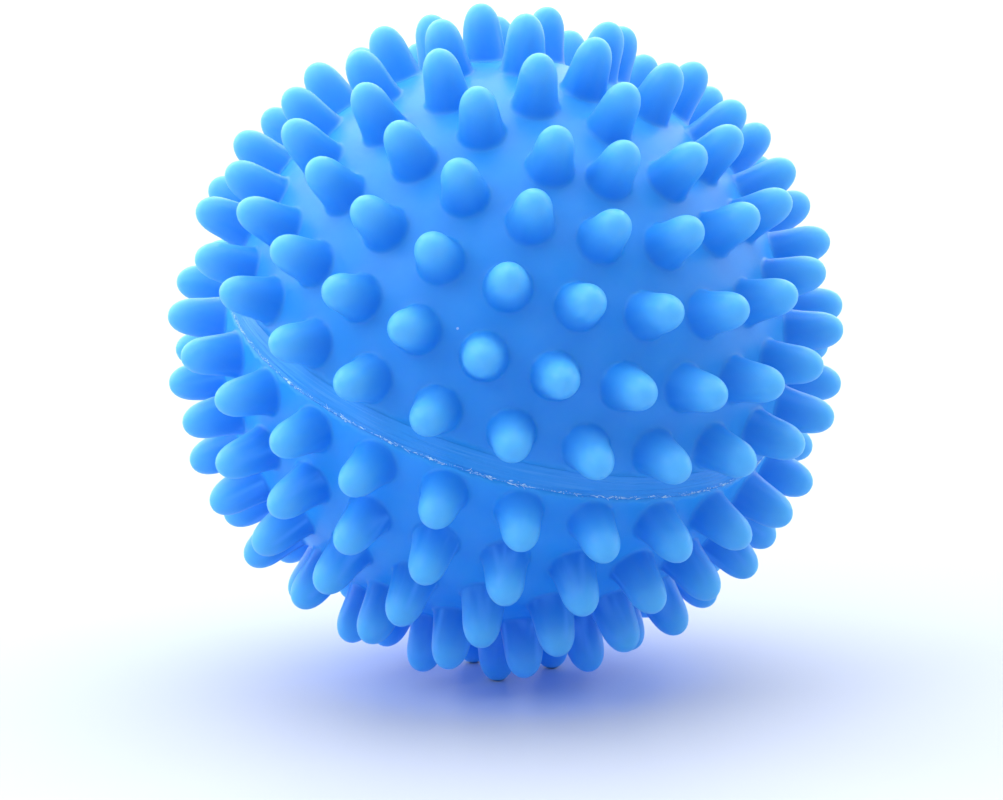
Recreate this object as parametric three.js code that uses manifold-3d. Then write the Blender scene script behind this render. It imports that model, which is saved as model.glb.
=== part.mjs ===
// Dryer ball: a hollow soft-vinyl ball covered in rounded nubs, welded round its equator from two
// moulded half shells. Each half is designed about its mould axis, with the seam at height zero,
// and the finished ball is then laid on the three nubs that it rests on.

import * as THREE from 'three';
import { mergeVertices } from 'three/addons/utils/BufferGeometryUtils.js';
import Module from 'manifold-3d';

// Driving dimensions, in millimetres and degrees.
const SPAN = 70; // across opposite nub tips
const NUB_HEIGHT = 5.8; // from the skin to the tip
const NUB_BASE_RADIUS = 2.6;
const NUB_TIP_RADIUS = 1.8;
const NUB_ROOT_DEPTH = 1; // how far a nub runs into the wall below the skin
const WALL = 2.2; // skin thickness
const CLEARANCE = 0.3; // between pieces that touch

// The nubs stand in rings of latitude, listed here from the pole down to the seam.
const RING_COUNTS = [1, 5, 12, 17, 21, 24, 24];
const RING_STEP = 13.85; // latitude between rings, counted from the pole
const SEAM_RING_LATITUDE = 8; // the last ring keeps clear of the weld
// Longitude of each ring's first nub, as the two moulds were cut.
const UPPER_RING_STARTS = [0, -19.5, 1.5, 10, -2, 6.5, 1];
const LOWER_RING_STARTS = [0, 0, 15, 2, -3, -7, 7];

// Nubs that the upper mould has off their ring's even spacing, and by how many degrees.
const UPPER_STRAYS = [
  { ring: 1, nub: 4, latitude: 0, longitude: 4.5 },
  { ring: 2, nub: 2, latitude: -1, longitude: -2 },
  { ring: 2, nub: 3, latitude: -0.5, longitude: -2.5 },
  { ring: 2, nub: 10, latitude: -0.5, longitude: 4.5 },
  { ring: 3, nub: 0, latitude: 1, longitude: 1 },
  { ring: 5, nub: 2, latitude: 1, longitude: 1.5 },
  { ring: 6, nub: 15, latitude: 2.5, longitude: 1 },
  { ring: 6, nub: 17, latitude: 0.5, longitude: -1.5 },
];

// The weld between the halves: a flash band outside and a bead inside.
const BAND_HALF_WIDTH = 1.25;
const BAND_DEPTH = 0.7; // below the skin
const BAND_RISE = 0.2; // above the skin
const BEAD_HALF_WIDTH = 0.9;
const BEAD_DEPTH = 1.1;

// The air plug at the lower pole, in place of that pole's nub.
const PLUG_STEM_RADIUS = 1.4;
const PLUG_HEAD_RADIUS = 3;
const PLUG_HEAD_RISE = 0.5; // above the skin
const PLUG_SEAT_DEPTH = 0.6; // of the head's recess in the skin
const PLUG_BARB_RADIUS = 2.2;
const PLUG_BARB_HEIGHT = 1.2;

// How the ball lies: its mould axis leans towards this heading, measured from +X about +Z.
const LEAN_HEADING = -45;

// Facets.
const SHELL_SEGMENTS = 24;
const SKIN_STEPS = 6;
const HOLLOW_STEPS = 5;
const NUB_SEGMENTS = 6;
const RING_SEGMENTS = 40;
const PLUG_SEGMENTS = 16;

const TIP_DISTANCE = SPAN / 2;
const SKIN_RADIUS = TIP_DISTANCE - NUB_HEIGHT;
const HOLLOW_RADIUS = SKIN_RADIUS - WALL;

const UP = new THREE.Vector3(0, 0, 1);
const DOWN = new THREE.Vector3(0, 0, -1);

const wasm = await Module();
wasm.setup();

const radians = THREE.MathUtils.degToRad;

// A body turned about +Z. Profile points are (radius, height), from the top down the outside.
function turned(profile, segments) {
  return new THREE.LatheGeometry([...profile].reverse(), segments).rotateX(Math.PI / 2);
}

// Points on an arc about (0, height), from one elevation angle to another.
function arc(radius, fromDegrees, toDegrees, steps, height = 0) {
  return Array.from({ length: steps + 1 }, (_, i) => {
    const angle = radians(THREE.MathUtils.lerp(fromDegrees, toDegrees, i / steps));
    const atPole = Math.abs(Math.cos(angle)) < 1e-9;
    return new THREE.Vector2(atPole ? 0 : radius * Math.cos(angle), height + radius * Math.sin(angle));
  });
}

function toSolid(geometry) {
  const bare = geometry.clone();
  bare.deleteAttribute('normal');
  bare.deleteAttribute('uv');
  const merged = mergeVertices(bare);
  const corners = merged.index.array;
  const faces = [];
  for (let i = 0; i < corners.length; i += 3) {
    const [a, b, c] = [corners[i], corners[i + 1], corners[i + 2]];
    const collapsed = a === b || b === c || c === a;
    if (!collapsed) faces.push(a, b, c);
  }
  return new wasm.Manifold(new wasm.Mesh({
    numProp: 3,
    vertProperties: new Float32Array(merged.attributes.position.array),
    triVerts: new Uint32Array(faces),
  }));
}

function toGeometry(solid) {
  const mesh = solid.getMesh();
  const geometry = new THREE.BufferGeometry();
  geometry.setAttribute('position', new THREE.BufferAttribute(mesh.vertProperties, 3));
  geometry.setIndex(new THREE.BufferAttribute(mesh.triVerts, 1));
  return geometry;
}

// Every nub of one half, as { latitude, longitude } in degrees. side is 1 above the seam, -1 below.
function nubPlaces(side, ringStarts, strays = []) {
  return RING_COUNTS.flatMap((count, ring) => {
    const nextToSeam = ring === RING_COUNTS.length - 1;
    const latitude = side * (nextToSeam ? SEAM_RING_LATITUDE : 90 - ring * RING_STEP);
    return Array.from({ length: count }, (_, i) => {
      const stray = strays.find((one) => one.ring === ring && one.nub === i);
      return {
        latitude: latitude + (stray?.latitude ?? 0),
        longitude: ringStarts[ring] + (i * 360) / count + (stray?.longitude ?? 0),
      };
    });
  });
}

function pointAt(radius, { latitude, longitude }) {
  return new THREE.Vector3(radius, 0, 0)
    .applyAxisAngle(new THREE.Vector3(0, 1, 0), -radians(latitude))
    .applyAxisAngle(UP, radians(longitude));
}

// One nub standing along +Z: a cone that runs smoothly into its round tip.
function uprightNub() {
  const capHeight = TIP_DISTANCE - NUB_TIP_RADIUS;
  const taper = THREE.MathUtils.radToDeg(
    Math.atan2(NUB_BASE_RADIUS - NUB_TIP_RADIUS, NUB_HEIGHT - NUB_TIP_RADIUS),
  );
  const rootHeight = SKIN_RADIUS - NUB_ROOT_DEPTH;
  const rootRadius = NUB_BASE_RADIUS + NUB_ROOT_DEPTH * Math.tan(radians(taper));
  return turned([
    ...arc(NUB_TIP_RADIUS, 90, taper, 2, capHeight),
    new THREE.Vector2(rootRadius, rootHeight),
    new THREE.Vector2(0, rootHeight),
  ], NUB_SEGMENTS);
}

function nubSolid(place) {
  const tilt = radians(90 - place.latitude);
  return toSolid(uprightNub().rotateY(tilt).rotateZ(radians(place.longitude)));
}

// The plain bowl above the seam, with a rebate round its rim for the weld band.
function bowl() {
  const rebateTop = BAND_HALF_WIDTH + CLEARANCE;
  const rebateRadius = SKIN_RADIUS - BAND_DEPTH - CLEARANCE;
  const rimHeight = CLEARANCE / 2;
  const edgeLatitude = THREE.MathUtils.radToDeg(Math.asin(rebateTop / SKIN_RADIUS));
  const rimLatitude = THREE.MathUtils.radToDeg(Math.asin(rimHeight / HOLLOW_RADIUS));
  return turned([
    ...arc(SKIN_RADIUS, 90, edgeLatitude, SKIN_STEPS),
    new THREE.Vector2(rebateRadius, rebateTop),
    new THREE.Vector2(rebateRadius, rimHeight),
    ...arc(HOLLOW_RADIUS, rimLatitude, 90, HOLLOW_STEPS),
  ], SHELL_SEGMENTS);
}

function airHole() {
  const seatHeight = SKIN_RADIUS - PLUG_SEAT_DEPTH;
  const seatRadius = PLUG_HEAD_RADIUS + CLEARANCE;
  const stemRadius = PLUG_STEM_RADIUS + CLEARANCE;
  return toSolid(turned([
    new THREE.Vector2(0, SKIN_RADIUS + WALL),
    new THREE.Vector2(seatRadius, SKIN_RADIUS + WALL),
    new THREE.Vector2(seatRadius, seatHeight),
    new THREE.Vector2(stemRadius, seatHeight),
    new THREE.Vector2(stemRadius, HOLLOW_RADIUS - WALL),
    new THREE.Vector2(0, HOLLOW_RADIUS - WALL),
  ], PLUG_SEGMENTS).rotateX(Math.PI));
}

function upperHalfShell() {
  const nubs = nubPlaces(1, UPPER_RING_STARTS, UPPER_STRAYS).map(nubSolid);
  return toGeometry(nubs.reduce((shell, nub) => shell.add(nub), toSolid(bowl())));
}

function lowerHalfShell() {
  const withoutPole = nubPlaces(-1, LOWER_RING_STARTS).slice(1);
  const plain = toSolid(bowl().rotateX(Math.PI));
  const nubbed = withoutPole.map(nubSolid).reduce((shell, nub) => shell.add(nub), plain);
  return toGeometry(nubbed.subtract(airHole()));
}

// The flash band: a low lens in section, standing slightly proud of the skin.
function weldBand() {
  const inside = SKIN_RADIUS - BAND_DEPTH;
  const profile = [
    new THREE.Vector2(inside, BAND_HALF_WIDTH),
    new THREE.Vector2(SKIN_RADIUS - CLEARANCE / 2, BAND_HALF_WIDTH),
    new THREE.Vector2(SKIN_RADIUS + BAND_RISE, BAND_HALF_WIDTH / 3),
    new THREE.Vector2(SKIN_RADIUS + BAND_RISE, -BAND_HALF_WIDTH / 3),
    new THREE.Vector2(SKIN_RADIUS - CLEARANCE / 2, -BAND_HALF_WIDTH),
    new THREE.Vector2(inside, -BAND_HALF_WIDTH),
  ];
  return turned([...profile, profile[0]], RING_SEGMENTS);
}

function innerWeldBead() {
  const outside = HOLLOW_RADIUS - CLEARANCE;
  const profile = [
    new THREE.Vector2(outside - BEAD_DEPTH, BEAD_HALF_WIDTH / 2),
    new THREE.Vector2(outside, BEAD_HALF_WIDTH),
    new THREE.Vector2(outside, -BEAD_HALF_WIDTH),
    new THREE.Vector2(outside - BEAD_DEPTH, -BEAD_HALF_WIDTH / 2),
  ];
  return turned([...profile, profile[0]], SHELL_SEGMENTS);
}

// The plug hangs head down at the lower pole: domed head outside, barb inside the hollow.
function airPlug() {
  const headBase = SKIN_RADIUS - PLUG_SEAT_DEPTH + CLEARANCE;
  const headEdge = SKIN_RADIUS + PLUG_HEAD_RISE / 2;
  const barbTop = HOLLOW_RADIUS - 2 * CLEARANCE;
  return turned([
    new THREE.Vector2(0, SKIN_RADIUS + PLUG_HEAD_RISE),
    new THREE.Vector2(PLUG_HEAD_RADIUS * 0.7, SKIN_RADIUS + PLUG_HEAD_RISE),
    new THREE.Vector2(PLUG_HEAD_RADIUS, headEdge),
    new THREE.Vector2(PLUG_HEAD_RADIUS, headBase),
    new THREE.Vector2(PLUG_STEM_RADIUS, headBase),
    new THREE.Vector2(PLUG_STEM_RADIUS, barbTop),
    new THREE.Vector2(PLUG_BARB_RADIUS, barbTop),
    new THREE.Vector2(PLUG_STEM_RADIUS, barbTop - PLUG_BARB_HEIGHT),
    new THREE.Vector2(0, barbTop - PLUG_BARB_HEIGHT),
  ], PLUG_SEGMENTS).rotateX(Math.PI);
}

// The ball lies on the first nub of the ring next to the lower pole and on the two nearest nubs
// of the ring after it.
function layOnItsNubs(ball) {
  const places = nubPlaces(-1, LOWER_RING_STARTS);
  const firstOfSecondRing = RING_COUNTS[0] + RING_COUNTS[1];
  const secondRing = places.slice(firstOfSecondRing, firstOfSecondRing + RING_COUNTS[2]);
  const foot = pointAt(TIP_DISTANCE, places[RING_COUNTS[0]]);
  const [left, right] = secondRing
    .map((place) => pointAt(TIP_DISTANCE, place))
    .sort((a, b) => a.distanceTo(foot) - b.distanceTo(foot));
  const floor = new THREE.Plane().setFromCoplanarPoints(foot, left, right);
  if (floor.constant > 0) floor.negate();
  const level = new THREE.Quaternion().setFromUnitVectors(floor.normal, DOWN);
  const turn = new THREE.Quaternion().setFromAxisAngle(UP, radians(LEAN_HEADING));
  ball.quaternion.multiplyQuaternions(turn, level);
  ball.position.z = -floor.constant;
}

const vinyl = { color: 0x2d8cf0, roughness: 0.42, metalness: 0, flatShading: true };
const trimmedVinyl = { ...vinyl, color: 0x5aa8f2, roughness: 0.6 };

function piece(name, geometry, look) {
  const mesh = new THREE.Mesh(geometry, new THREE.MeshStandardMaterial(look));
  mesh.name = name;
  return mesh;
}

const ball = new THREE.Group();
ball.add(
  piece('upper_half_shell', upperHalfShell(), vinyl),
  piece('lower_half_shell', lowerHalfShell(), vinyl),
  piece('weld_band', weldBand(), trimmedVinyl),
  piece('inner_weld_bead', innerWeldBead(), trimmedVinyl),
  piece('air_plug', airPlug(), vinyl),
);
layOnItsNubs(ball);

const dryerBall = new THREE.Group();
dryerBall.add(ball);

export default dryerBall;
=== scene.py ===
"""Looks of the dryer ball: a hollow ball of soft blue vinyl, covered in rounded nubs.

The fine half shells, weld band, weld bead and air plug are made in the mould's own frame, in
millimetres with the mould axis along +Z, and are then laid where the CAD ball lies.
"""

import math
import random

import bpy
import numpy as np
from mathutils import Matrix, Quaternion, Vector, noise
from mathutils.geometry import delaunay_2d_cdt


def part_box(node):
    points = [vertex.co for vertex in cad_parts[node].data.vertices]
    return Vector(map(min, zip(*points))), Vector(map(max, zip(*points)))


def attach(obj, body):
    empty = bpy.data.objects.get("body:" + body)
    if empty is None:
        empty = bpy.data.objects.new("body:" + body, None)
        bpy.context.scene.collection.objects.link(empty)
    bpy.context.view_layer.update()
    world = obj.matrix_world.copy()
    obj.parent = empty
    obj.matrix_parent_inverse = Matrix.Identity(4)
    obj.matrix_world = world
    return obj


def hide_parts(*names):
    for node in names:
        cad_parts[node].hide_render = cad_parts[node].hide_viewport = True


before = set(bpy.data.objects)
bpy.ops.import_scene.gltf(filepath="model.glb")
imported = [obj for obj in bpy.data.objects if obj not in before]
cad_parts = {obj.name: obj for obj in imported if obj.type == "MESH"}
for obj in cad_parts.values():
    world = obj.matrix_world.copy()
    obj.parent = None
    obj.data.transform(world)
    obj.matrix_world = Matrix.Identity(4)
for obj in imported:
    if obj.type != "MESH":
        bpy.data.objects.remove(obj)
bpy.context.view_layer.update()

MM = 0.001
UP = Vector((0, 0, 1))

# Sizes of the CAD ball, in millimetres and degrees.
TIP_DISTANCE = 35.0
NUB_HEIGHT = 5.8
WALL = 2.2
CLEARANCE = 0.3
SKIN_RADIUS = TIP_DISTANCE - NUB_HEIGHT
HOLLOW_RADIUS = SKIN_RADIUS - WALL
RING_COUNTS = (1, 5, 12, 17, 21, 24, 24)
RING_STEP = 13.85
SEAM_RING_LATITUDE = 8.0
UPPER_RING_STARTS = (0, -19.5, 1.5, 10, -2, 6.5, 1)
LOWER_RING_STARTS = (0, 0, 15, 2, -3, -7, 7)
# Nubs off their ring's even spacing: (ring, nub) and the shifts in latitude and longitude.
UPPER_STRAYS = {
    (1, 4): (0, 4.5),
    (2, 2): (-1, -2),
    (2, 3): (-0.5, -2.5),
    (2, 10): (-0.5, 4.5),
    (3, 0): (1, 1),
    (5, 2): (1, 1.5),
    (6, 15): (2.5, 1),
    (6, 17): (0.5, -1.5),
}
LOWER_STRAYS = {}
LEAN_HEADING = -45.0
BAND_HALF_WIDTH = 1.25
BAND_DEPTH = 0.7
BEAD_HALF_WIDTH = 0.9
BEAD_DEPTH = 1.1
PLUG_STEM_RADIUS = 1.4
PLUG_HEAD_RADIUS = 3.0
PLUG_HEAD_RISE = 0.5
PLUG_SEAT_DEPTH = 0.6
PLUG_BARB_RADIUS = 2.2
PLUG_BARB_HEIGHT = 1.2

# Fineness of the meshes.
NUB_SEGMENTS = 32
DOME_RINGS = 6
SIDE_RINGS = 7
FILLET_RINGS = 4
RIM_SEGMENTS = 216
HOLE_SEGMENTS = 48
HOLLOW_RINGS = 20
BAND_SEGMENTS = 1300
BAND_ROWS = 44
BEAD_SEGMENTS = 240
BEAD_ROWS = 10
PLUG_SEGMENTS = 56
SKIN_SPACING = 0.7

SAME_PLACE = 1e-6  # points closer than this are one
SEED = 11
FLASH_SEED = SEED + 5


# Camera: straight in front and a little above, as far off as a small product is photographed.
AIM_OFFSET_MM = Vector((-0.47, 0, 28.6))
CAMERA_DISTANCE = 0.5129
CAMERA_ELEVATION = 10.1
LENS_MM = 178.0
SENSOR_MM = 36.0


def add_camera():
    data = bpy.data.cameras.new("camera")
    data.lens = LENS_MM
    data.sensor_width = SENSOR_MM
    camera = bpy.data.objects.new("camera", data)
    bpy.context.scene.collection.objects.link(camera)
    elevation = math.radians(CAMERA_ELEVATION)
    back = Vector((0, -math.cos(elevation), math.sin(elevation)))
    camera.location = AIM_OFFSET_MM * MM + back * CAMERA_DISTANCE
    camera.rotation_mode = "QUATERNION"
    camera.rotation_quaternion = (-back).to_track_quat("-Z", "Y")
    bpy.context.scene.camera = camera


add_camera()


# ---------------------------------------------------------------- where things are on the ball


def direction(latitude, longitude):
    la, lo = math.radians(latitude), math.radians(longitude)
    return Vector((math.cos(la) * math.cos(lo), math.cos(la) * math.sin(lo), math.sin(la)))


def nub_places(starts, strays):
    """(ring, latitude, longitude) of every nub of one half, with latitudes above the seam."""
    places = []
    for ring, (count, start) in enumerate(zip(RING_COUNTS, starts)):
        last = ring == len(RING_COUNTS) - 1
        latitude = SEAM_RING_LATITUDE if last else 90 - ring * RING_STEP
        for nub in range(count):
            up, along = strays.get((ring, nub), (0, 0))
            places.append((ring, latitude + up, start + nub * 360 / count + along))
    return places


def resting_nubs():
    """Directions of the three nubs of the lower half that the ball lies on."""
    places = nub_places(LOWER_RING_STARTS, LOWER_STRAYS)
    rings = {r: [direction(-la, lo) for ring, la, lo in places if ring == r] for r in (1, 2)}
    foot = rings[1][0]
    near = sorted(rings[2], key=lambda p: (p - foot).length)
    return foot, near[0], near[1]


def ball_turn():
    """The turn from the mould's frame to how the ball lies."""
    a, b, c = resting_nubs()
    down = (b - a).cross(c - a).normalized()
    if down.dot(a) < 0:
        down.negate()
    level = down.rotation_difference(-UP)
    return Quaternion(UP, math.radians(LEAN_HEADING)) @ level


band_low, band_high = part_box("weld_band")
BALL_CENTRE = (band_low + band_high) / 2
TO_ROW = Matrix.Translation(BALL_CENTRE) @ ball_turn().to_matrix().to_4x4() @ Matrix.Scale(MM, 4)


# ------------------------------------------------------------------------------- mesh building


def circle(radius, height, segments):
    angles = [math.tau * i / segments for i in range(segments)]
    return [Vector((radius * math.cos(a), radius * math.sin(a), height)) for a in angles]


def outward(longitude):
    """Away from the mould axis."""
    return Vector((math.cos(longitude), math.sin(longitude), 0))


def bridge(upper, lower):
    """Quads from one loop of indices to the next, facing out when upper runs anticlockwise."""
    n = len(upper)
    return [(upper[i], lower[i], lower[(i + 1) % n], upper[(i + 1) % n]) for i in range(n)]


def fan(middle, loop):
    """Triangles from one point to a loop of indices, facing out when it runs anticlockwise."""
    n = len(loop)
    return [(middle, loop[i], loop[(i + 1) % n]) for i in range(n)]


def closing_fan(loop, middle):
    """Triangles from a loop of indices to one point, facing out like bridge."""
    n = len(loop)
    return [(loop[i], middle, loop[(i + 1) % n]) for i in range(n)]


def grid_faces(first, rings, segments):
    """Quads between closed rings of points that follow each other, starting at index first."""
    faces = []
    for ring in range(rings - 1):
        top = first + ring * segments
        for i in range(segments):
            j = (i + 1) % segments
            faces.append((top + i, top + i + segments, top + j + segments, top + j))
    return faces


def closed_hoop(sections, size):
    """Faces of a body that runs round the ball, from this many sections of size points each."""
    faces = []
    for i in range(sections):
        a, b = i * size, ((i + 1) % sections) * size
        for r in range(size):
            s = (r + 1) % size
            faces.append((a + r, b + r, b + s, a + s))
    return faces


def stitched(outer, inner):
    """Triangles between two loops with different numbers of points, both anticlockwise."""
    faces = []
    n, m = len(outer), len(inner)
    i = j = 0
    while i < n or j < m:
        if j >= m or (i < n and (i + 1) / n <= (j + 1) / m):
            faces.append((outer[i % n], inner[j % m], outer[(i + 1) % n]))
            i += 1
        else:
            faces.append((outer[i % n], inner[j % m], inner[(j + 1) % m]))
            j += 1
    return faces


def turned(profile, segments):
    """A closed body turned about the mould axis. The profile runs from the top down the outside."""
    points, faces, rows = [], [], []
    for radius, height in profile:
        base = len(points)
        on_axis = radius == 0
        points += [Vector((0, 0, height))] if on_axis else circle(radius, height, segments)
        rows.append(list(range(base, len(points))))
    for upper, lower in zip(rows, rows[1:]):
        if len(upper) == 1:
            faces += fan(upper[0], lower)
        elif len(lower) == 1:
            faces += closing_fan(upper, lower[0])
        else:
            faces += bridge(upper, lower)
    return points, faces


def reversed_faces(faces):
    return [tuple(reversed(f)) for f in faces]


def mirrored_body(points, faces):
    """The same body below the seam plane."""
    return [Vector((p.x, p.y, -p.z)) for p in points], reversed_faces(faces)


def append_body(points, faces, body):
    base = len(points)
    points += body[0]
    faces += [tuple(base + k for k in f) for f in body[1]]


def make_piece(name, body, material, slot, *nodes):
    """A smooth-shaded mesh from mould-frame millimetres, laid in the row frame."""
    points, faces = body
    mesh = bpy.data.meshes.new(name)
    mesh.from_pydata([tuple(p) for p in points], [], faces)
    mesh.transform(TO_ROW)
    mesh.validate()
    mesh.polygons.foreach_set("use_smooth", [True] * len(mesh.polygons))
    mesh.materials.append(material)
    piece = bpy.data.objects.new(name, mesh)
    bpy.context.scene.collection.objects.link(piece)
    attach(piece, "root")
    if nodes:
        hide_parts(*nodes)
    return piece


# ---------------------------------------------------------------------------- the nub's profile

DOME_HEIGHT = 2.9
DOME_HALF_WIDTH = 1.93
DOME_POWER = 2.12
DOME_SWEEP = 66.0
DOME_LAST_STEP = 0.99  # share of the sweep from which the dome's last heading is taken
FLARE_START = (2.33, 5.45)  # half width, depth below the tip
FLARE_SLOPE = 0.2
DOME_PULL = 1.0
FLARE_PULL = 1.9
NUB_BASE_RADIUS = 2.43
FOOTPRINT_RADIUS = 2.72  # where the small fillet meets the skin


def bezier(a, b, c, d, t):
    s = 1 - t
    return a * s**3 + 3 * b * s * s * t + 3 * c * s * t * t + d * t**3


def dome_point(angle):
    """(half width, depth) on the dome, a slightly squared half ellipse."""
    power = 2 / DOME_POWER
    half_width = DOME_HALF_WIDTH * math.sin(angle) ** power
    return half_width, DOME_HEIGHT * (1 - math.cos(angle) ** power)


def skin_depth(half_width):
    """Depth below the tip of a point of the skin that far from the nub's axis."""
    return TIP_DISTANCE - math.sqrt(SKIN_RADIUS**2 - half_width**2)


def nub_profile():
    """(half width, depth below the tip) from the tip down to the skin."""
    sweep = math.radians(DOME_SWEEP)
    points = [dome_point(sweep * i / DOME_RINGS) for i in range(1, DOME_RINGS + 1)]
    start = np.array(points[-1])
    heading = start - np.array(dome_point(sweep * DOME_LAST_STEP))
    start_pull = start + DOME_PULL * heading / np.linalg.norm(heading)
    end = np.array(FLARE_START)
    end_pull = end - FLARE_PULL * np.array((FLARE_SLOPE, 1)) / math.hypot(FLARE_SLOPE, 1)
    for i in range(1, SIDE_RINGS + 1):
        points.append(tuple(bezier(start, start_pull, end_pull, end, i / SIDE_RINGS)))
    foot = np.array((FOOTPRINT_RADIUS, skin_depth(FOOTPRINT_RADIUS)))
    corner = np.array((NUB_BASE_RADIUS, skin_depth(NUB_BASE_RADIUS)))
    for i in range(1, FILLET_RINGS + 1):
        t = i / FILLET_RINGS
        s = 1 - t
        points.append(tuple(end * s * s + 2 * corner * s * t + foot * t * t))
    return points


PROFILE = nub_profile()


# ------------------------------------------------------------------------------ the half shells

RIM_GAP = 0.004  # hairline between a shell's edge and the weld band
RIM_HEIGHT = BAND_HALF_WIDTH + RIM_GAP
NUB_TO_RIM = 0.09  # least skin left between a nub's foot and the rim
REACH_HALVINGS = 30
TIP_WANDER = 0.1
LENGTH_WANDER = 0.05
SKIN_WAVE = 0.035
SKIN_WAVE_SCALE = 0.16
SKIN_WAVE_FADE = 3.0  # the waves die out over this height above the rim
SKIN_WAVE_REACH = 0.2  # they move only what is this close to the skin
LOWER_WAVE_SHIFT = 40.0  # so that the halves' waves differ
FILL_MARGIN = 0.38
ASKEW = Vector((0.31, 0.52, 0.79))  # along no nub's axis
PLUG_SEAT_RADIUS = PLUG_HEAD_RADIUS + CLEARANCE / 2
AIR_HOLE_RADIUS = PLUG_STEM_RADIUS + CLEARANCE
HOLE_EDGE_DROP = 0.02


def foot_reach(axis, across):
    """How far a nub's foot reaches in one direction before it would come too near the rim."""

    def is_clear(reach):
        height = math.sqrt(SKIN_RADIUS**2 - reach**2)
        return axis.z * height + across.z * reach >= RIM_HEIGHT + NUB_TO_RIM

    if is_clear(FOOTPRINT_RADIUS):
        return FOOTPRINT_RADIUS
    near, far = 0.0, FOOTPRINT_RADIUS
    for _ in range(REACH_HALVINGS):
        reach = (near + far) / 2
        if is_clear(reach):
            near = reach
        else:
            far = reach
    return near


def fitted(half_width, depth, reach):
    """A profile point with the foot drawn in, so that it meets the skin at the given reach."""
    kept_width = FLARE_START[0]
    if half_width <= kept_width:
        return half_width, depth
    squeeze = (reach - kept_width) / (FOOTPRINT_RADIUS - kept_width)
    width = kept_width + (half_width - kept_width) * squeeze
    return width, depth - skin_depth(half_width) + skin_depth(width)


def nub_patch(axis, chance, steady):
    """Points and faces of one nub. The last NUB_SEGMENTS points are its foot, on the skin."""
    side = axis.cross(ASKEW).normalized()
    other = axis.cross(side)
    wander = 0 if steady else 1
    turn = chance.uniform(0, math.tau)
    sideways = side * math.cos(turn) + other * math.sin(turn)
    shift = sideways * chance.uniform(0, TIP_WANDER) * wander
    longer = chance.uniform(-LENGTH_WANDER, LENGTH_WANDER) * wander
    points = [axis * (TIP_DISTANCE + longer) + shift]
    angles = [math.tau * i / NUB_SEGMENTS for i in range(NUB_SEGMENTS)]
    rays = [side * math.cos(angle) + other * math.sin(angle) for angle in angles]
    reaches = [foot_reach(axis, ray) for ray in rays]
    for half_width, depth in PROFILE:
        rise = 1 - min(depth / NUB_HEIGHT, 1)
        for ray, reach in zip(rays, reaches):
            width, down = fitted(half_width, depth, reach)
            lift = axis * (TIP_DISTANCE - down + longer * rise)
            points.append(lift + ray * width + shift * rise * rise)
    faces = fan(0, list(range(1, NUB_SEGMENTS + 1)))
    faces += grid_faces(1, len(PROFILE), NUB_SEGMENTS)
    return points, faces


def fill_points(axes, hole_radius):
    """Evenly spread points of the skin, clear of the nubs, the rim and the air hole."""
    count = round(4 * math.pi * SKIN_RADIUS**2 / (SKIN_SPACING**2 * math.sqrt(3) / 2))
    golden = math.pi * (3 - math.sqrt(5))
    index = np.arange(count)
    z = 1 - (2 * index + 1) / count
    r = np.sqrt(1 - z * z)
    spots = np.stack([r * np.cos(golden * index), r * np.sin(golden * index), z], 1) * SKIN_RADIUS
    spots = spots[spots[:, 2] > RIM_HEIGHT + FILL_MARGIN]
    if hole_radius:
        spots = spots[np.hypot(spots[:, 0], spots[:, 1]) > hole_radius + FILL_MARGIN]
    cosines = (spots / SKIN_RADIUS) @ np.array([tuple(a) for a in axes]).T
    clear = math.cos(math.asin(FOOTPRINT_RADIUS / SKIN_RADIUS) + FILL_MARGIN / SKIN_RADIUS)
    return [Vector(p) for p in spots[cosines.max(1) < clear]]


def flattened(p):
    """Stereographic picture of a skin point, which keeps circles round."""
    return Vector((p.x, p.y)) * 2 / (1 + p.z / SKIN_RADIUS)


def skin_between(points, loops):
    """Triangles of the skin between the loops of indices. The first loop is the rim."""
    last_loop_point = loops[-1][-1]
    on_loops = {i for loop in loops for i in loop}
    used = sorted(on_loops | set(range(last_loop_point + 1, len(points))))
    where = {p: k for k, p in enumerate(used)}
    edges = []
    owner = {}
    for number, loop in enumerate(loops):
        edges += [(where[loop[i]], where[loop[(i + 1) % len(loop)]]) for i in range(len(loop))]
        owner.update({p: number for p in loop})
    flat = [flattened(points[p]) for p in used]
    _, _, triangles, origins, _, _ = delaunay_2d_cdt(flat, edges, [], 0, SAME_PLACE)
    source = [used[ids[0]] for ids in origins]
    rim, free = 0, -1
    faces = []
    for triangle in triangles:
        a, b, c = (source[k] for k in triangle)
        owners = {owner.get(a, free), owner.get(b, free), owner.get(c, free)}
        inside_a_loop = len(owners) == 1 and owners != {free} and owners != {rim}
        if inside_a_loop:
            continue
        normal = (points[b] - points[a]).cross(points[c] - points[a])
        faces.append((a, b, c) if normal.dot(points[a]) > 0 else (a, c, b))
    return faces


def wave_skin(points, shift):
    """Lifts and sinks the skin a little, as soft vinyl sets unevenly. The rim stays true."""
    for k in range(RIM_SEGMENTS, len(points)):
        p = points[k]
        if p.length < SKIN_RADIUS + SKIN_WAVE_REACH:
            wave = noise.noise(p * SKIN_WAVE_SCALE + Vector((0, 0, shift)))
            fade = min(1, (p.z - RIM_HEIGHT) / SKIN_WAVE_FADE)
            points[k] = p * (1 + SKIN_WAVE * wave * fade / SKIN_RADIUS)


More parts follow.
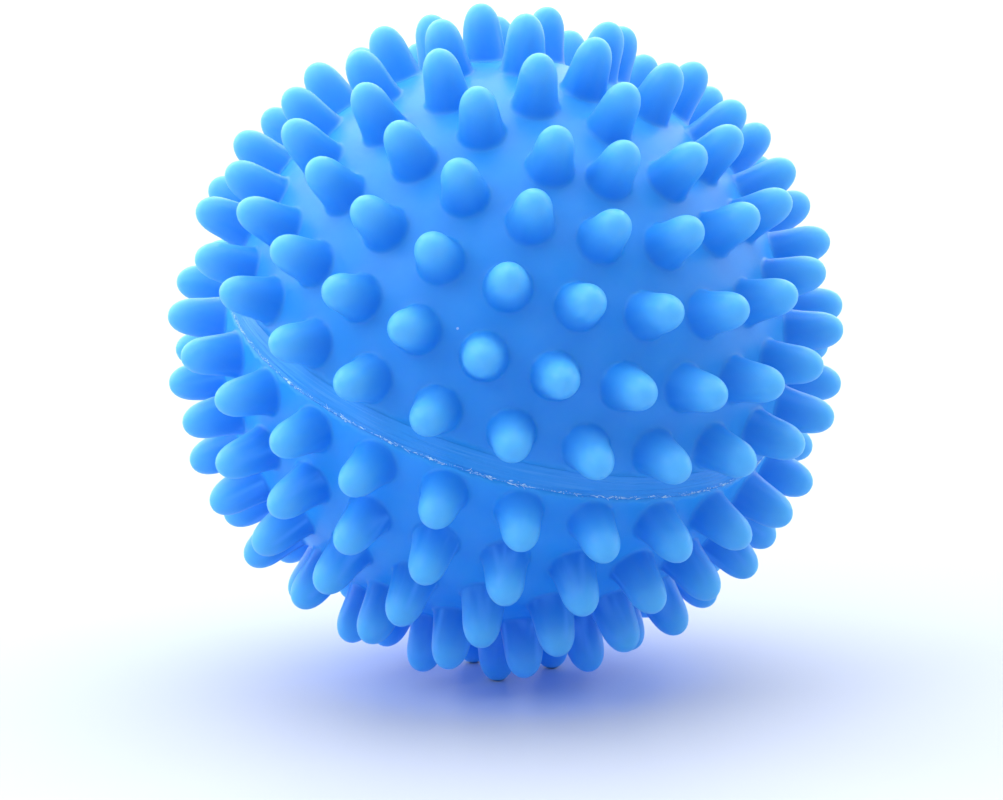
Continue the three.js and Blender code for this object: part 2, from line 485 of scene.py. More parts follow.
def nubbed_skin(starts, strays, mirrored):
    """Points and faces of one half's outside, with the loops of its rim and of its air hole."""
    chance = random.Random(SEED + mirrored)
    steady = [Vector((p.x, p.y, -p.z)) for p in resting_nubs()] if mirrored else []
    places = nub_places(starts, strays)
    if mirrored:
        places = places[1:]  # the air plug takes the place of the nub at the pole
    points = circle(math.sqrt(SKIN_RADIUS**2 - RIM_HEIGHT**2), RIM_HEIGHT, RIM_SEGMENTS)
    loops = [list(range(RIM_SEGMENTS))]
    faces = []
    axes = []
    for _, latitude, longitude in places:
        axis = direction(latitude, longitude)
        axes.append(axis)
        is_steady = any((axis - s).length < SAME_PLACE for s in steady)
        append_body(points, faces, nub_patch(axis, chance, is_steady))
        loops.append(list(range(len(points) - NUB_SEGMENTS, len(points))))
    hole_radius = PLUG_SEAT_RADIUS if mirrored else 0
    if mirrored:
        base = len(points)
        points += circle(hole_radius, math.sqrt(SKIN_RADIUS**2 - hole_radius**2), HOLE_SEGMENTS)
        loops.append(list(range(base, len(points))))
    points += fill_points(axes, hole_radius)
    faces += skin_between(points, loops)
    wave_skin(points, LOWER_WAVE_SHIFT * mirrored)
    return points, faces, loops[0], loops[-1]


def half_shell(starts, strays, mirrored):
    """Points and faces of one half, made above the seam and mirrored for the lower half."""
    points, faces, rim, hole = nubbed_skin(starts, strays, mirrored)

    def add_loop(radius, height, segments):
        base = len(points)
        points.extend(circle(radius, height, segments))
        return list(range(base, base + segments))

    rebate = SKIN_RADIUS - BAND_DEPTH - CLEARANCE
    low = CLEARANCE / 2
    chain = [rim, add_loop(rebate, RIM_HEIGHT, RIM_SEGMENTS), add_loop(rebate, low, RIM_SEGMENTS)]
    start = math.asin(low / HOLLOW_RADIUS)
    top = math.acos(AIR_HOLE_RADIUS / HOLLOW_RADIUS) if mirrored else math.pi / 2
    rings = HOLLOW_RINGS if mirrored else HOLLOW_RINGS - 1
    for i in range(rings + 1):
        angle = start + (top - start) * i / HOLLOW_RINGS
        radius, height = HOLLOW_RADIUS * math.cos(angle), HOLLOW_RADIUS * math.sin(angle)
        chain.append(add_loop(radius, height, RIM_SEGMENTS))
    for upper, lower in zip(chain, chain[1:]):
        faces += bridge(upper, lower)
    last = chain[-1]
    if not mirrored:
        points.append(Vector((0, 0, HOLLOW_RADIUS)))
        pole = len(points) - 1
        faces += closing_fan(last, pole)
        return points, faces
    seat = SKIN_RADIUS - PLUG_SEAT_DEPTH
    inner_edge = points[last[0]].z
    wall = [
        hole,
        add_loop(PLUG_SEAT_RADIUS, seat, HOLE_SEGMENTS),
        add_loop(AIR_HOLE_RADIUS, seat, HOLE_SEGMENTS),
        add_loop(AIR_HOLE_RADIUS, inner_edge + HOLE_EDGE_DROP, HOLE_SEGMENTS),
    ]
    for upper, lower in zip(wall, wall[1:]):
        faces += reversed_faces(bridge(upper, lower))
    faces += stitched(last, wall[-1])
    return mirrored_body(points, faces)


# ------------------------------------------------------------------------------------ the weld

BAND_CROWN = 0.02
GROOVE_PLACE = -0.66  # across the band, from -1 at its lower edge to 1 at its upper edge
GROOVE_WANDER = 0.07
GROOVE_WIDTH = 0.06
GROOVE_DEPTH = 0.1
GROOVE_STRENGTH = (0.75, 0.9, 1.0)  # middle, swing and most, as shares of its depth
STRIATIONS = (-0.42, -0.22, 0.0, 0.2, 0.42, 0.62)
SUNKEN_STRIATIONS = (1, 4)
STRIATION_WIDTH = 0.055
STRIATION_HEIGHT = 0.055
STRIATION_WANDER = 0.2
STRIATION_STRENGTH = (0.35, 0.9, 1.2)  # the same, as shares of its height
LIP_PLACE = -0.88
LIP_WANDER = 0.05
LIP_WIDTH = 0.06
LIP_HEIGHT = 0.12
LIP_LEAST = 0.25  # this and the next three are shares of its height
LIP_MOST = 1.2
LIP_RAGGEDNESS = 0.3
LIP_TEARING = 0.5

NOISE_GAIN = 1.8
LAYER_STEP = 7.3
# Noises that run round the seam: how fast each one changes, and its layer of noise.
STRIATION_DRIFT = (3.1, 0)
STRIATION_FADING = (5.5, 20)
GROOVE_FADING = (4.2, 40)
GROOVE_DRIFT = (6, 41)
LIP_RAGGED = (30, 42)
LIP_TORN = (120, 43)
LIP_DRIFT = (60, 44)
CRUMB_CROWDING = (14, 60)
BEAD_SWELLING = (8, 70)


def around(longitude, kind, further=0):
    """Smooth noise from about -1 to 1 that closes on itself round the ball."""
    frequency, layer = kind
    spot = outward(longitude) * frequency + UP * (LAYER_STEP * (layer + further))
    return noise.noise(spot) * NOISE_GAIN


def uneven(wave, middle, swing=1.0, most=math.inf):
    """A share that swings about the middle with a wave, never below nought."""
    return min(max(0.0, middle + swing * wave), most)


def bell(x, width):
    return math.exp(-((x / width) ** 2))


def band_rise(longitude):
    """The weld band's height over the skin in millimetres, as a function of the place across."""
    lines = []
    for k, place in enumerate(STRIATIONS):
        middle = place + STRIATION_WANDER * around(longitude, STRIATION_DRIFT, k)
        strength = uneven(around(longitude, STRIATION_FADING, k), *STRIATION_STRENGTH)
        sign = -1 if k in SUNKEN_STRIATIONS else 1
        lines.append((middle, STRIATION_WIDTH, sign * STRIATION_HEIGHT * strength))
    groove = GROOVE_PLACE + GROOVE_WANDER * around(longitude, GROOVE_DRIFT)
    cut = uneven(around(longitude, GROOVE_FADING), *GROOVE_STRENGTH)
    lines.append((groove, GROOVE_WIDTH, -GROOVE_DEPTH * cut))
    lip = LIP_PLACE + LIP_WANDER * around(longitude, LIP_DRIFT)
    ragged = uneven(around(longitude, LIP_RAGGED), LIP_RAGGEDNESS)
    ragged *= uneven(around(longitude, LIP_TORN), LIP_TEARING)
    lines.append((lip, LIP_WIDTH, LIP_HEIGHT * min(LIP_MOST, LIP_LEAST + ragged)))

    def rise(across):
        height = BAND_CROWN * (1 - across * across)
        return height + sum(size * bell(across - middle, width) for middle, width, size in lines)

    return rise


def weld_band():
    """The trimmed joint: fine lines, a groove and a ragged lip, on a band let into the shells."""
    points = []
    inside = SKIN_RADIUS - BAND_DEPTH
    rows = [(-1 + 2 * r / BAND_ROWS) for r in range(BAND_ROWS + 1)]
    for i in range(BAND_SEGMENTS):
        longitude = math.tau * i / BAND_SEGMENTS
        out = outward(longitude)
        rise = band_rise(longitude)
        for across in rows:
            z = across * BAND_HALF_WIDTH
            radius = math.sqrt(SKIN_RADIUS**2 - z * z) + rise(across)
            points.append(out * radius + UP * z)
        points.append(out * inside + UP * BAND_HALF_WIDTH)
        points.append(out * inside - UP * BAND_HALF_WIDTH)
    return points, closed_hoop(BAND_SEGMENTS, BAND_ROWS + 3)


FLASH_SCATTER = 0.07
CRUMBS = 1900
CRUMB_SMALLEST = 0.02
CRUMB_LARGEST = 0.075
CRUMB_STRETCH = 6.0
CRUMB_SLANT = 0.35
CRUMB_TOP = (0.8, 1.2)  # shares of a crumb's size
CRUMB_REACH = (0.65, 1.2)
CRUMB_BURIED = 0.35
CRUMB_DEEPEST = -0.05
CRUMB_SPREAD = 0.2
CRUMB_LEAST_CHANCE = 0.2
CRUMB_CHANCE_GAIN = 1.2
CRUMB_RINGS = 3
CRUMB_SEGMENTS = 6
SHREDS = 170
SHRED_THICKNESS = 0.026
SHRED_SHORTEST = 0.35
SHRED_LONGEST = 0.95
SHRED_SLANT = (-0.05, 0.12)  # mean and spread
SHRED_LIFT = 0.03
SHRED_LOOSENESS = 0.05
SHRED_BEND = 0.5
SHRED_CURL = 0.6
SHRED_BLUNTNESS = 0.25
SHRED_TAPER = (0.12, 0.8)  # start and length of the swelling, in half waves
SHRED_STEPS = 7
SHRED_SIDES = 5


def rough_ball(middle, along, across, out, size, stretch, chance):
    """A small torn crumb: an uneven closed lump, drawn out along the weld."""
    points = [middle + out * size * chance.uniform(*CRUMB_TOP)]
    for ring in range(1, CRUMB_RINGS + 1):
        polar = math.pi * ring / (CRUMB_RINGS + 1)
        for i in range(CRUMB_SEGMENTS):
            angle = math.tau * i / CRUMB_SEGMENTS
            reach = size * chance.uniform(*CRUMB_REACH)
            flat = along * (math.cos(angle) * stretch) + across * math.sin(angle)
            points.append(middle + (out * math.cos(polar) + flat * math.sin(polar)) * reach)
    bottom = len(points)
    points.append(middle - out * size)
    faces = fan(0, list(range(1, CRUMB_SEGMENTS + 1)))
    faces += grid_faces(1, CRUMB_RINGS, CRUMB_SEGMENTS)
    faces += closing_fan(list(range(bottom - CRUMB_SEGMENTS, bottom)), bottom)
    return points, faces


def shred(start, heading, out, length, chance):
    """A thin torn strand that lies on the skin and curls a little."""
    points = []
    spot = start.copy()
    bend = chance.uniform(-SHRED_BEND, SHRED_BEND)
    taper_start, taper_length = SHRED_TAPER
    for step in range(SHRED_STEPS + 1):
        swelling = math.sin(math.pi * (taper_start + taper_length * step / SHRED_STEPS))
        thin = SHRED_THICKNESS * (SHRED_BLUNTNESS + swelling)
        across = out.cross(heading).normalized()
        for i in range(SHRED_SIDES):
            angle = math.tau * i / SHRED_SIDES
            points.append(spot + (across * math.cos(angle) + out * math.sin(angle)) * thin)
        heading = (heading + across * bend * chance.uniform(0, SHRED_CURL)).normalized()
        spot = spot + heading * (length / SHRED_STEPS)
        spot = spot * (start.length / spot.length)
    sides = grid_faces(0, SHRED_STEPS + 1, SHRED_SIDES)
    faces = [(a, d, c, b) for a, b, c, d in sides]
    faces.append(tuple(reversed(range(SHRED_SIDES))))
    last = SHRED_STEPS * SHRED_SIDES
    faces.append(tuple(range(last, last + SHRED_SIDES)))
    return points, faces


def torn_shred(chance):
    """One strand somewhere along the band's lower edge."""
    longitude = chance.uniform(0, math.tau)
    z = (LIP_PLACE + chance.gauss(0, FLASH_SCATTER)) * BAND_HALF_WIDTH
    out = outward(longitude)
    along = Vector((-out.y, out.x, 0)) * chance.choice((-1, 1))
    heading = (along + UP * chance.gauss(*SHRED_SLANT)).normalized()
    length = SHRED_SHORTEST + (SHRED_LONGEST - SHRED_SHORTEST) * chance.random() ** 2
    radius = math.sqrt(SKIN_RADIUS**2 - z * z) + SHRED_LIFT + chance.uniform(0, SHRED_LOOSENESS)
    return shred(out * radius + UP * z, heading, out, length, chance)


def torn_crumb(longitude, chance):
    """One crumb at the band's lower edge, half sunk in it."""
    across = LIP_PLACE + chance.gauss(0, FLASH_SCATTER)
    z = across * BAND_HALF_WIDTH
    out = outward(longitude)
    along = Vector((-out.y, out.x, 0)) + UP * chance.uniform(-CRUMB_SLANT, CRUMB_SLANT)
    along.normalize()
    size = CRUMB_SMALLEST + (CRUMB_LARGEST - CRUMB_SMALLEST) * chance.random() ** 3
    stretch = 1 + (CRUMB_STRETCH - 1) * chance.random() ** 2
    lift = max(CRUMB_DEEPEST, band_rise(longitude)(max(-1.0, min(1.0, across))))
    radius = math.sqrt(SKIN_RADIUS**2 - z * z) + lift + size * CRUMB_BURIED
    cross = out.cross(along).normalized()
    return rough_ball(out * radius + UP * z, along, cross, out, size, stretch, chance)


def flash_crumbs():
    """White strands and crumbs where the flash was torn off, along the band's lower edge."""
    chance = random.Random(FLASH_SEED)
    points, faces = [], []
    for _ in range(SHREDS):
        append_body(points, faces, torn_shred(chance))
    made = 0
    while made < CRUMBS:
        longitude = chance.uniform(0, math.tau)
        crowding = uneven(around(longitude, CRUMB_CROWDING), CRUMB_SPREAD)
        if chance.random() <= CRUMB_LEAST_CHANCE + CRUMB_CHANCE_GAIN * crowding:
            append_body(points, faces, torn_crumb(longitude, chance))
            made += 1
    return points, faces


BEAD_FULLNESS = (0.86, 0.12)  # mean and swing, as shares of the bead's depth
BEAD_SQUARENESS = 0.8


def inner_bead():
    """The squeezed-out bead inside the weld: a low half round that swells and thins a little."""
    points = []
    outside = HOLLOW_RADIUS - CLEARANCE
    fullness, swing = BEAD_FULLNESS
    for i in range(BEAD_SEGMENTS):
        longitude = math.tau * i / BEAD_SEGMENTS
        out = outward(longitude)
        depth = BEAD_DEPTH * (fullness + swing * around(longitude, BEAD_SWELLING))
        for r in range(BEAD_ROWS + 1):
            angle = math.pi * r / BEAD_ROWS
            inward = depth * math.sin(angle) ** BEAD_SQUARENESS
            points.append(out * (outside - inward) + UP * (BEAD_HALF_WIDTH * math.cos(angle)))
    return points, closed_hoop(BEAD_SEGMENTS, BEAD_ROWS + 1)


PLUG_DOME = 0.22
PLUG_DOME_RINGS = 6
PLUG_EDGE = 0.35
PLUG_EDGE_RINGS = 5
PLUG_CORNER = 0.1
PLUG_BARB_CORNER = 0.05
PLUG_TAIL = 0.2


def air_plug():
    """The plug, head down at the lower pole: a domed head with a rolled edge, stem and barb."""
    base = SKIN_RADIUS - PLUG_SEAT_DEPTH + CLEARANCE / 3
    top = SKIN_RADIUS + PLUG_HEAD_RISE
    flat_radius = PLUG_HEAD_RADIUS - PLUG_EDGE
    edge_middle = top - PLUG_DOME - PLUG_EDGE
    profile = [(0, top)]
    for i in range(1, PLUG_DOME_RINGS + 1):
        t = i / PLUG_DOME_RINGS
        profile.append((flat_radius * t, top - PLUG_DOME * t * t))
    for i in range(1, PLUG_EDGE_RINGS + 1):
        angle = math.pi / 2 * (1 - i / PLUG_EDGE_RINGS)
        radius = flat_radius + PLUG_EDGE * math.cos(angle)
        profile.append((radius, edge_middle + PLUG_EDGE * math.sin(angle)))
    barb_top = HOLLOW_RADIUS - 2 * CLEARANCE
    profile += [
        (PLUG_HEAD_RADIUS, base),
        (PLUG_STEM_RADIUS + PLUG_CORNER, base),
        (PLUG_STEM_RADIUS, base - PLUG_CORNER),
        (PLUG_STEM_RADIUS, barb_top + PLUG_BARB_CORNER),
        (PLUG_STEM_RADIUS + PLUG_BARB_CORNER, barb_top),
        (PLUG_BARB_RADIUS - PLUG_CORNER, barb_top),
        (PLUG_BARB_RADIUS, barb_top - PLUG_CORNER),
        (PLUG_STEM_RADIUS, barb_top - PLUG_BARB_HEIGHT),
        (0, barb_top - PLUG_BARB_HEIGHT - PLUG_TAIL),
    ]
    return mirrored_body(*turned(profile, PLUG_SEGMENTS))


# ------------------------------------------------------------------------------- shader helpers


def new_material(name):
    material = bpy.data.materials.new(name)
    material.use_nodes = True
    material.node_tree.nodes.clear()
    return material, material.node_tree


def add(tree, kind, inputs=None, **settings):
    """A node. Each of its inputs is given a value, or a socket of another node to follow."""
    node = tree.nodes.new(kind)
    for key, value in settings.items():
        setattr(node, key, value)
    for key, value in (inputs or {}).items():
        if isinstance(value, bpy.types.NodeSocket):
            tree.links.new(value, node.inputs[key])
        else:
            node.inputs[key].default_value = value
    return node


def maths(tree, operation, *values):
    node = add(tree, "ShaderNodeMath", dict(enumerate(values)), operation=operation)
    return node.outputs[0]


def vector_maths(tree, operation, *values):
    node = add(tree, "ShaderNodeVectorMath", dict(enumerate(values)), operation=operation)
    is_number = operation in ("DOT_PRODUCT", "LENGTH")
    return node.outputs["Value" if is_number else "Vector"]


def ramp(tree, value, span, low=0.0, high=1.0, smooth=False):
    """Goes from low to high while the value crosses the span."""
    inputs = {
        "Value": value,
        "From Min": span[0],
        "From Max": span[1],
        "To Min": low,
        "To Max": high,
    }
    kind = "SMOOTHSTEP" if smooth else "LINEAR"
    return add(tree, "ShaderNodeMapRange", inputs, interpolation_type=kind).outputs["Result"]


# Where a Mix node keeps its sockets for colours.
MIX_AMOUNT = 0
MIX_BELOW = 6
MIX_ABOVE = 7
MIX_RESULT = 2


def mixed(tree, amount, tone, other):
    """The tone, with this amount of the other colour over it."""
    below = tone if isinstance(tone, bpy.types.NodeSocket) else (*tone, 1)
    inputs = {MIX_AMOUNT: amount, MIX_BELOW: below, MIX_ABOVE: (*other, 1)}
    return add(tree, "ShaderNodeMix", inputs, data_type="RGBA").outputs[MIX_RESULT]


def noise_texture(tree, place, scale, detail=2.0):
    inputs = {"Vector": place, "Scale": scale, "Detail": detail}
    return add(tree, "ShaderNodeTexNoise", inputs).outputs["Fac"]


def relief(tree, height, strength, depth, under=None):
    """A normal with this relief, on top of another one if there is one under it."""
    inputs = {"Height": height, "Strength": strength, "Distance": depth * MM}
    if under:
        inputs["Normal"] = under
    return add(tree, "ShaderNodeBump", inputs).outputs[0]


def add_surface(tree, inputs):
    """The shader and the material's output."""
    shader = add(tree, "ShaderNodeBsdfPrincipled", inputs, subsurface_method="RANDOM_WALK")
    add(tree, "ShaderNodeOutputMaterial", {"Surface": shader.outputs[0]})


# ------------------------------------------------------------------------------------- the vinyl

VALLEY = (0.023, 0.29, 0.79)
# Painted light: paler valleys for the lower half, which gets less light.
LOWER_VALLEY_LIGHT_TONE = (0.022, 0.325, 0.88)
# Painted light: the paler nub tips, standing in for light that comes through the thin vinyl.
TIP_LIGHT_TONE = (0.098, 0.465, 0.88)
WELD_TONE = (0.024, 0.28, 0.79)
PLUG_TONE = (0.008, 0.22, 0.76)
# Painted light: the plug's paler top.
PLUG_TOP_LIGHT_TONE = (0.04, 0.38, 0.9)
ROUGHNESS = 0.42
PLUG_ROUGHNESS = 0.34
GRAIN = 0.25
WELD_GRAIN = 0.3
PLUG_GRAIN = 0.2

# Distances from the ball's centre, in metres, over which the painted tip light and flank shade
# change.
VALLEY_END = (SKIN_RADIUS + 0.6) * MM
TIP_START = (TIP_DISTANCE + 0.2) * MM
FLANK_START = (TIP_DISTANCE - 1.6) * MM
CLOUD_SCALE = 70
CLOUD_DETAIL = 3
CLOUD_DRIFT = 1.0 * MM

# Painted shade down the nubs' sides, darkest at their feet.
FLANK_SHADE_TONE = (0.012, 0.19, 0.69)
FLANK_LEAN = (0.95, 0.25)  # cosines between the surface and the way out
# How much painted flank shade each half gets; the lower half is shaded more.
FLANK_SHADE_AMOUNT = 0.1
LOWER_FLANK_SHADE_AMOUNT = 0.45

SOFTNESS = 0.8
OPAQUE_REACH = (0.1, 0.8)  # beside the weld the skin is fused and less translucent
VINYL = {
    "Subsurface Radius": (0.3, 0.65, 0.8),
    "Subsurface Scale": 0.8 * MM,
    "IOR": 1.47,
    "Specular IOR Level": 0.33,
    "Specular Tint": (0.66, 0.9, 1.0, 1),
    "Coat Weight": 0.05,
    "Coat Roughness": 0.22,
    "Coat IOR": 1.45,
}

# Painted highlights: long pale streaks down the lower nubs, standing in for glossy reflections on
# their flanks.
STREAK_HIGHLIGHT_TONE = (0.1, 0.45, 0.97)
STREAK_STRENGTH = 0.75
STREAK_SCALE = 11
STREAK_HALF_WIDTH = 0.15
STREAK_LEAN = (0.6, 0.3)
STREAK_PATCHES = 16
STREAK_PATCH_SPAN = (0.35, 0.55)
STREAK_REACH = (4 * MM, 11 * MM)  # from the seam plane, over which the marks grow

# Worn lines along the weld.
SCUFF = (0.12, 0.42, 0.9)
SCUFF_STRETCH = (1, 1, 40)
SCUFF_SCALE = 130
SCUFF_DETAIL = 4
SCUFF_SPAN = (0.5, 0.75)
SCUFF_STRENGTH = 0.35

MOTTLE_SCALE = 260
MOTTLE_DETAIL = 4
BLOOM = (0.22, 0.44, 0.92)
BLOOM_SPAN = (0.35, 0.75)
BLOOM_STRENGTH = 0.09
DUST = (0.62, 0.74, 0.92)
DUST_SCALE = 210
DUST_RADIUS = 0.035
DUST_RARITY = 0.9
DUST_STRENGTH = 0.55
GLOSS_DIP = 0.05
GLOSS_RISE = 0.07
GRAIN_SCALE = 2600
GRAIN_DETAIL = 3
GRAIN_DEPTH = 0.02
SWELL = 0.35
SWELL_DEPTH = 0.12


def painted_tip_light(tree, place, reach, valley, tip):
    """Painted light and shade: deeper in the valleys and paler towards the thin nub tips, with a
    cloudy border between.
    """
    cloud = noise_texture(tree, place, CLOUD_SCALE, CLOUD_DETAIL)
    drift = maths(tree, "MULTIPLY_ADD", cloud, 2 * CLOUD_DRIFT, -CLOUD_DRIFT)
    height = maths(tree, "ADD", reach, drift)
    return mixed(tree, ramp(tree, height, (VALLEY_END, TIP_START)), valley, tip)


def painted_flank_shade(tree, reach, upright, tone, most):
    """Painted shade: a deeper blue down the nubs' sides, most of all at their feet."""
    flank = ramp(tree, upright, FLANK_LEAN)
    low = ramp(tree, reach, (FLANK_START, VALLEY_END), high=most)
    return mixed(tree, maths(tree, "MULTIPLY", flank, low), tone, FLANK_SHADE_TONE)


def painted_streak_highlights(tree, way_out, upright, off_seam, tone):
    """Painted highlights: lines that run along the nubs, cell edges among the directions from the
    ball's centre.
    """
    inputs = {"Vector": way_out, "Scale": STREAK_SCALE}
    cells = add(tree, "ShaderNodeTexVoronoi", inputs, feature="DISTANCE_TO_EDGE")
    patches = noise_texture(tree, way_out, STREAK_PATCHES)
    amount = ramp(tree, cells.outputs["Distance"], (STREAK_HALF_WIDTH, 0), smooth=True)
    for factor in (
        ramp(tree, upright, STREAK_LEAN, smooth=True),
        ramp(tree, patches, STREAK_PATCH_SPAN, high=STREAK_STRENGTH),
        ramp(tree, off_seam, STREAK_REACH),
    ):
        amount = maths(tree, "MULTIPLY", amount, factor)
    return mixed(tree, amount, tone, STREAK_HIGHLIGHT_TONE)


def scuffs(tree, centred, tone):
    """Fine pale lines drawn out along the weld."""
    inputs = {"Vector": centred, "Rotation": ball_turn().to_euler()}
    settings = {"rotation_type": "EULER_XYZ", "invert": True}
    level = add(tree, "ShaderNodeVectorRotate", inputs, **settings).outputs[0]
    drawn = vector_maths(tree, "MULTIPLY", level, SCUFF_STRETCH)
    lines = noise_texture(tree, drawn, SCUFF_SCALE, SCUFF_DETAIL)
    return mixed(tree, ramp(tree, lines, SCUFF_SPAN, high=SCUFF_STRENGTH), tone, SCUFF)


def dust(tree, place, tone):
    """A few pale specks, one in some of the cells of a cell pattern."""
    inputs = {"Vector": place, "Scale": DUST_SCALE, "Randomness": 1}
    cells = add(tree, "ShaderNodeTexVoronoi", inputs, feature="F1")
    dot = maths(tree, "LESS_THAN", cells.outputs["Distance"], DUST_RADIUS)
    draw = add(tree, "ShaderNodeSeparateColor", {0: cells.outputs["Color"]}).outputs[0]
    rare = maths(tree, "GREATER_THAN", draw, DUST_RARITY)
    speck = maths(tree, "MULTIPLY", dot, rare)
    return mixed(tree, maths(tree, "MULTIPLY", speck, DUST_STRENGTH), tone, DUST)


def vinyl_material(name, valley, tip, roughness, grain, soft=True, painted_lower_half=False):
    """Soft vinyl with painted light and shade: deeper in the valleys, paler and clearer at thin nub
    tips.
    """
    material, tree = new_material(name)
    where = add(tree, "ShaderNodeTexCoord")
    place = where.outputs["Object"]
    centred = vector_maths(tree, "SUBTRACT", place, BALL_CENTRE)
    reach = vector_maths(tree, "LENGTH", centred)
    way_out = vector_maths(tree, "NORMALIZE", centred)
    upright = vector_maths(tree, "DOT_PRODUCT", way_out, where.outputs["Normal"])

    tone = painted_tip_light(tree, place, reach, valley, tip)
    flank_shade_amount = LOWER_FLANK_SHADE_AMOUNT if painted_lower_half else FLANK_SHADE_AMOUNT
    tone = painted_flank_shade(tree, reach, upright, tone, flank_shade_amount)
    softness = 0
    if soft:
        above = vector_maths(tree, "DOT_PRODUCT", centred, ball_turn() @ UP)
        off_seam = maths(tree, "ABSOLUTE", above)
        span = [(RIM_HEIGHT + further) * MM for further in OPAQUE_REACH]
        softness = ramp(tree, off_seam, span, high=SOFTNESS, smooth=True)
        # Painted highlight streaks on the lower nubs.
        if painted_lower_half:
            tone = painted_streak_highlights(tree, way_out, upright, off_seam, tone)
    else:
        tone = scuffs(tree, centred, tone)

    mottle = noise_texture(tree, place, MOTTLE_SCALE, MOTTLE_DETAIL)
    tone = mixed(tree, ramp(tree, mottle, BLOOM_SPAN, high=BLOOM_STRENGTH), tone, BLOOM)
    swell = relief(tree, mottle, SWELL, SWELL_DEPTH)
    fine = noise_texture(tree, place, GRAIN_SCALE, GRAIN_DETAIL)
    add_surface(
        tree,
        {
            "Base Color": dust(tree, place, tone),
            "Roughness": ramp(tree, mottle, (0, 1), roughness - GLOSS_DIP, roughness + GLOSS_RISE),
            "Normal": relief(tree, fine, grain, GRAIN_DEPTH, under=swell),
            "Subsurface Weight": softness,
            **VINYL,
        },
    )
    return material


TORN_BLUE = (0.16, 0.45, 0.92)
TORN_PALE = (0.55, 0.82, 1.0)
TORN_SCALE = 1100
TORN_SPAN = (0.35, 0.6)
TORN_ROUGHNESS = (0.55, 0.8)
TORN_RELIEF = 0.5
TORN_DEPTH = 0.02


def crumb_material(name):
    """Stress-whitened vinyl where the flash was torn."""
    material, tree = new_material(name)
    where = add(tree, "ShaderNodeTexCoord")
    patch = noise_texture(tree, where.outputs["Object"], TORN_SCALE)
    add_surface(
        tree,
        {
            "Base Color": mixed(tree, ramp(tree, patch, TORN_SPAN), TORN_BLUE, TORN_PALE),
            "Roughness": ramp(tree, patch, (0, 1), *TORN_ROUGHNESS),
            "Normal": relief(tree, patch, TORN_RELIEF, TORN_DEPTH),
        },
    )
    return material


vinyl = vinyl_material("blue_vinyl", VALLEY, TIP_LIGHT_TONE, ROUGHNESS, GRAIN)
# The lower half: a lit and shaded copy of the vinyl, with paler valleys, more flank shade and
# highlight streaks, all painted.
lower_painted_vinyl = vinyl_material("lower_painted_vinyl", LOWER_VALLEY_LIGHT_TONE, TIP_LIGHT_TONE, ROUGHNESS, GRAIN, painted_lower_half=True)
weld_vinyl = vinyl_material("weld_vinyl", WELD_TONE, TIP_LIGHT_TONE, ROUGHNESS, WELD_GRAIN, soft=False)
plug_vinyl = vinyl_material("plug_vinyl", PLUG_TONE, PLUG_TOP_LIGHT_TONE, PLUG_ROUGHNESS, PLUG_GRAIN)
torn_vinyl = crumb_material("torn_vinyl")


# ----------------------------------------------------------------------------------- the pieces

upper_half = half_shell(UPPER_RING_STARTS, UPPER_STRAYS, False)
lower_half = half_shell(LOWER_RING_STARTS, LOWER_STRAYS, True)
make_piece("upper_shell", upper_half, vinyl, "vinyl", "upper_half_shell")
lower_shell = make_piece("lower_shell", lower_half, lower_painted_vinyl, "vinyl", "lower_half_shell")
make_piece("weld_line", weld_band(), weld_vinyl, "trimmed_vinyl", "weld_band")
make_piece("weld_crumbs", flash_crumbs(), torn_vinyl, "trimmed_vinyl")
make_piece("inner_bead", inner_bead(), weld_vinyl, "trimmed_vinyl", "inner_weld_bead")
make_piece("plug", air_plug(), plug_vinyl, "plug_vinyl", "air_plug")


# ------------------------------------------------------------------------------ floor and light

FLOOR_HALF = 3.0
FLOOR_COLOUR = (0.495, 0.54, 0.635)
# Painted light: the floor is paler far from the ball, so it stays white where the lamps no longer
# reach.
FAR_FLOOR_LIGHT_TONE = (0.75, 0.76, 0.78)
FAR_FLOOR_REACH = (0.5, 0.9)  # metres from the ball, over which the floor pales
FLOOR_ROUGHNESS = 0.4
FLOOR_IOR = 1.055


def add_floor():
    mesh = bpy.data.meshes.new("floor")
    h = FLOOR_HALF
    mesh.from_pydata([(-h, -h, 0), (h, -h, 0), (h, h, 0), (-h, h, 0)], [], [(0, 1, 2, 3)])
    floor = bpy.data.objects.new("floor", mesh)
    bpy.context.scene.collection.objects.link(floor)
    material, tree = new_material("floor")
    # Painted light: paler floor far from the ball.
    away = vector_maths(tree, "LENGTH", add(tree, "ShaderNodeTexCoord").outputs["Object"])
    far = ramp(tree, away, FAR_FLOOR_REACH, smooth=True)
    colour = mixed(tree, far, FLOOR_COLOUR, FAR_FLOOR_LIGHT_TONE)
    add_surface(tree, {"Base Color": colour, "Roughness": FLOOR_ROUGHNESS, "IOR": FLOOR_IOR})
    mesh.materials.append(material)
    return floor


def add_area_lamp(name, shape, power):
    data = bpy.data.lights.new(name, "AREA")
    data.shape = shape
    data.energy = power
    lamp = bpy.data.objects.new(name, data)
    bpy.context.scene.collection.objects.link(lamp)
    return lamp


SOFTBOX_AIM = Vector((0, 0, 0.03))
# Each has a name, a place, a width, a height and a power.
SOFTBOXES = (
    ("left", (-0.55, -0.42, 0.5), 0.4, 0.4, 1.6),
    ("side_left", (-0.72, 0.22, 0.25), 0.03, 0.5, 0.65),
    ("side_right", (0.72, 0.22, 0.25), 0.03, 0.5, 0.65),
)


def add_softbox(name, place, width, height, power):
    lamp = add_area_lamp(name, "RECTANGLE", power)
    lamp.data.size = width
    lamp.data.size_y = height
    lamp.location = place
    lamp.rotation_mode = "QUATERNION"
    lamp.rotation_quaternion = (SOFTBOX_AIM - Vector(place)).to_track_quat("-Z", "Y")


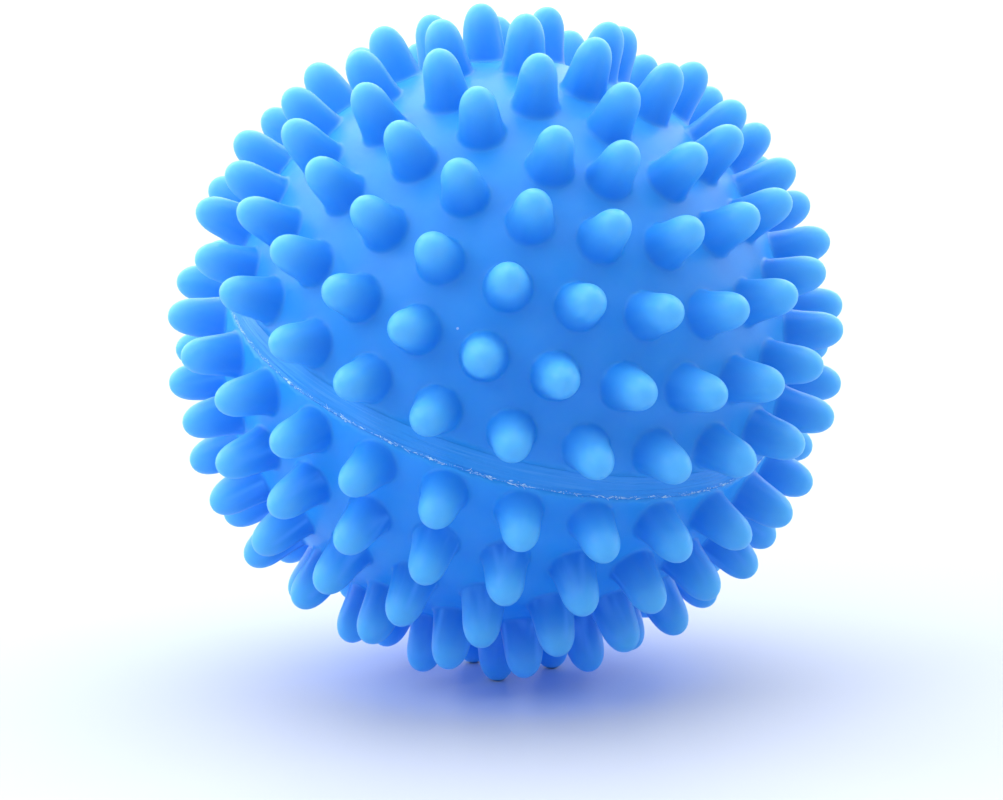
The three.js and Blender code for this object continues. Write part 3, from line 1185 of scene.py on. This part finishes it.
# Blue light that the thin vinyl passes on to the floor beneath it, and what comes back up.
UNDER_GLOW = {
    "height": 0.005,
    "width": 0.042,
    "power": 0.0018,
    "colour": (0.0, 0.22, 1.0),
    "upward": False,
}
BOUNCE = {
    "height": 0.0002,
    "width": 0.05,
    "power": 0.0011,
    "colour": (0.0, 0.3, 1.0),
    "upward": True,
}


def add_glow(name, receiver, height, width, power, colour, upward):
    """A round lamp under the ball that lights only the receiver and is itself never seen."""
    lamp = add_area_lamp(name, "DISK", power)
    lamp.data.size = width
    lamp.data.color = colour
    lamp.location = (0, 0, height)
    if upward:
        lamp.rotation_euler = (math.pi, 0, 0)
    lamp.visible_camera = False
    lamp.visible_glossy = False
    lit = bpy.data.collections.new("lit_by_" + name)
    lit.objects.link(receiver)
    lamp.light_linking.receiver_collection = lit


BRIGHT_SIDE = (-0.14, 0.6, 0.79)
TENT_SPAN = (-0.15, 1.5)
ROOM_SIDE_LIGHT = 0.57
TENT_LIGHT = 3.9
WHITE = (1.0, 1.0, 1.0, 1.0)
BACKDROP_LIGHT = 1.05


def add_world():
    """A white tent, darker on the camera's side, where the room is. The camera sees plain white."""
    world = bpy.data.worlds.new("tent")
    bpy.context.scene.world = world
    world.use_nodes = True
    tree = world.node_tree
    tree.nodes.clear()
    facing = add(tree, "ShaderNodeTexCoord").outputs["Generated"]
    lit = vector_maths(tree, "DOT_PRODUCT", facing, Vector(BRIGHT_SIDE).normalized())
    glow = ramp(tree, lit, TENT_SPAN, ROOM_SIDE_LIGHT, TENT_LIGHT, smooth=True)
    tent = add(tree, "ShaderNodeBackground", {"Color": WHITE, "Strength": glow})
    plain = add(tree, "ShaderNodeBackground", {"Color": WHITE, "Strength": BACKDROP_LIGHT})
    seen = add(tree, "ShaderNodeLightPath").outputs["Is Camera Ray"]
    pick = add(tree, "ShaderNodeMixShader", {0: seen, 1: tent.outputs[0], 2: plain.outputs[0]})
    add(tree, "ShaderNodeOutputWorld", {"Surface": pick.outputs[0]})


floor = add_floor()
add_world()
for softbox in SOFTBOXES:
    add_softbox(*softbox)
add_glow("under_glow", floor, **UNDER_GLOW)
add_glow("bounce", lower_shell, **BOUNCE)

view = bpy.context.scene.view_settings
view.view_transform = "Standard"
view.look = "None"
view.exposure = 0
view.gamma = 1
